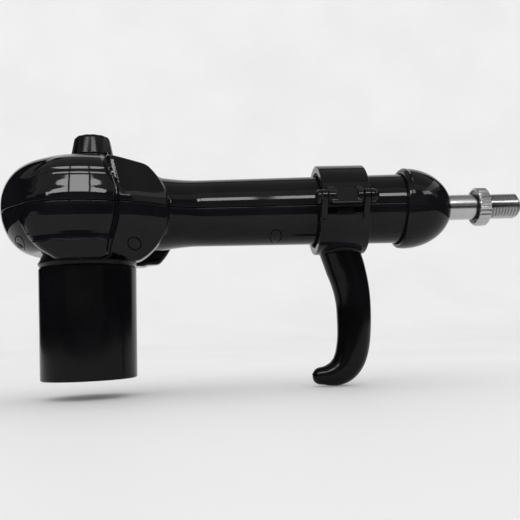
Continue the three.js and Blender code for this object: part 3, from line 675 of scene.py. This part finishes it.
def upper_clamp(x, y, z):
    """The cap: a leaning flap between its knuckles, and a lug."""
    half = over(clamp_ring(x, y, z, 140.4), np.where(y < 0, 100.8, 98) - z, 0.5)
    lean = 0.375 * (z - AXIS_Z) - 0.927 * y
    flap = over(between(lean, 26.6, 32.3), between(z, 95.6, 105.2), 0.6)
    flap = over(flap, between(x, 144, 161.8), 0.5)
    half = union(half, flap, 0.3)
    for low, high in KNUCKLES:
        arm = union(limb(y, z, (HINGE_Y, HINGE_Z), (-27.8, 104.6), 4, 2.6),
                    limb(y, z, (HINGE_Y, HINGE_Z), (-27.5, 101.5), 3, 2), 0.5)
        half = union(half, over(arm, between(x, low, high), 0.7), 0.6)
    half = union(half, lug(x, y, z, 98, 104.6), 1.5)
    half = minus(half, rod_x(RING_BORE, x, y, z))
    half = minus(half, post_z(3.3, x, y, CLAMP_X, LATCH_Y), 0.3)
    return minus(half, hinge_hole(x, y, z))


CLAMP_GRID = lines(137.6, 0.35, 148.5, 0.8, 158.5, 0.35, 170)


def build_clamp():
    lower = moulded("clamp_saddle", lower_clamp, CLAMP_GRID, lines(-36, 0.5, -22, 0.8, 22, 0.6, 42),
                    lines(69, 0.35, 79, 0.6, 87.5, 0.35, 105))
    dress(lower, GLOSS, "clamp", "gloss_black", "clamp_lower")
    upper = moulded("clamp_bridge", upper_clamp, CLAMP_GRID, lines(-36, 0.4, -20, 0.8, 22, 0.6, 42),
                    lines(94.5, 0.35, 108.5, 0.7, 127))
    dress(upper, GLOSS, "clamp_cap", "gloss_black", "clamp_cap")
    for name, x, way, length in (("rear", 138.3, -1, 3.4), ("front", 167.6, 1, 5.4)):
        dome = [(x, 0), (x, 4.2), (x + way * length * 0.3, 4.2)]
        dome += [(x + way * length * (0.3 + 0.7 * math.sin(t)), 4.2 * math.cos(t))
                 for t in np.linspace(0.3, 1.5, 7)]
        nut = turned(f"hinge_cap_{name}", [*dome, (x + way * length, 0)], "x",
                     (0, HINGE_Y, HINGE_Z), 48, 0.3)
        dress(nut, GLOSS, "clamp", "gloss_black", f"hinge_nut_{name}")

    def lobes(angle, at, r):
        return np.where(at > 106.5, r - 0.8 * np.clip(r - 4, 0, 1) * np.cos(8 * angle) ** 2, r)

    screw = turned("latch_knob", [
        (89, 0), (89, 2.6), (89.6, 3), (104.9, 3), (104.9, 5), (106.4, 5), (106.4, 7.4), (107, 8),
        (112.6, 8), (113.4, 7), (113.4, 0)], "z", (CLAMP_X, LATCH_Y, 0), 128, 0.4, lobes)
    dress(screw, SATIN, "latch_screw", "satin_black", "latch_screw")


# (X, Z, half thickness) down the grip's middle line.
GRIP_KNOTS = [
    (154.6, 69.8, 12.9), (156.9, 62, 12.3), (158.9, 54.5, 11.7), (160.3, 47, 11.2), (161, 39, 10.8),
    (161, 31, 10.6), (160.7, 24, 10.4), (160.1, 17.5, 10.2), (158.9, 11, 10), (156.8, 5, 9.6),
    (153.4, 0.3, 9), (149, -2.6, 8), (144.5, -3.9, 6.7), (140.4, -4.3, 5.6), (137, -4.3, 5),
    (135, -4.2, 3.9), (133.8, -4.1, 2), (133.6, -4.1, 0.6)]


def build_grip():
    """The grip: oval rings across a curved line."""
    line = smooth_line(GRIP_KNOTS, 7)
    angle = np.linspace(0, 2 * math.pi, 72, endpoint=False)
    rings = []
    for i, (x, z, half) in enumerate(line):
        ahead = line[min(i + 1, len(line) - 1)] - line[max(i - 1, 0)]
        way = np.array([ahead[0], ahead[1]]) / max(np.hypot(ahead[0], ahead[1]), 1e-6)
        if i < 8:
            way = way * i / 8 + np.array([0, -1.0]) * (1 - i / 8)
        along = np.array([-way[1], way[0]]) * half
        rings.append(np.stack([x + along[0] * np.cos(angle), 0.92 * half * np.sin(angle),
                               z + along[1] * np.cos(angle)], 1))
    grip = skin("hooked_grip", np.array(rings), crease=50)
    dress(grip, SATIN, "clamp", "satin_black", "grip")


# ---- the whole ---------------------------------------------------------------------------------
build_camera()
build_stage()
dress_cad()
build_housing()
build_handle()
build_knob()
build_rod()
build_nose()
build_clamp()
build_grip()
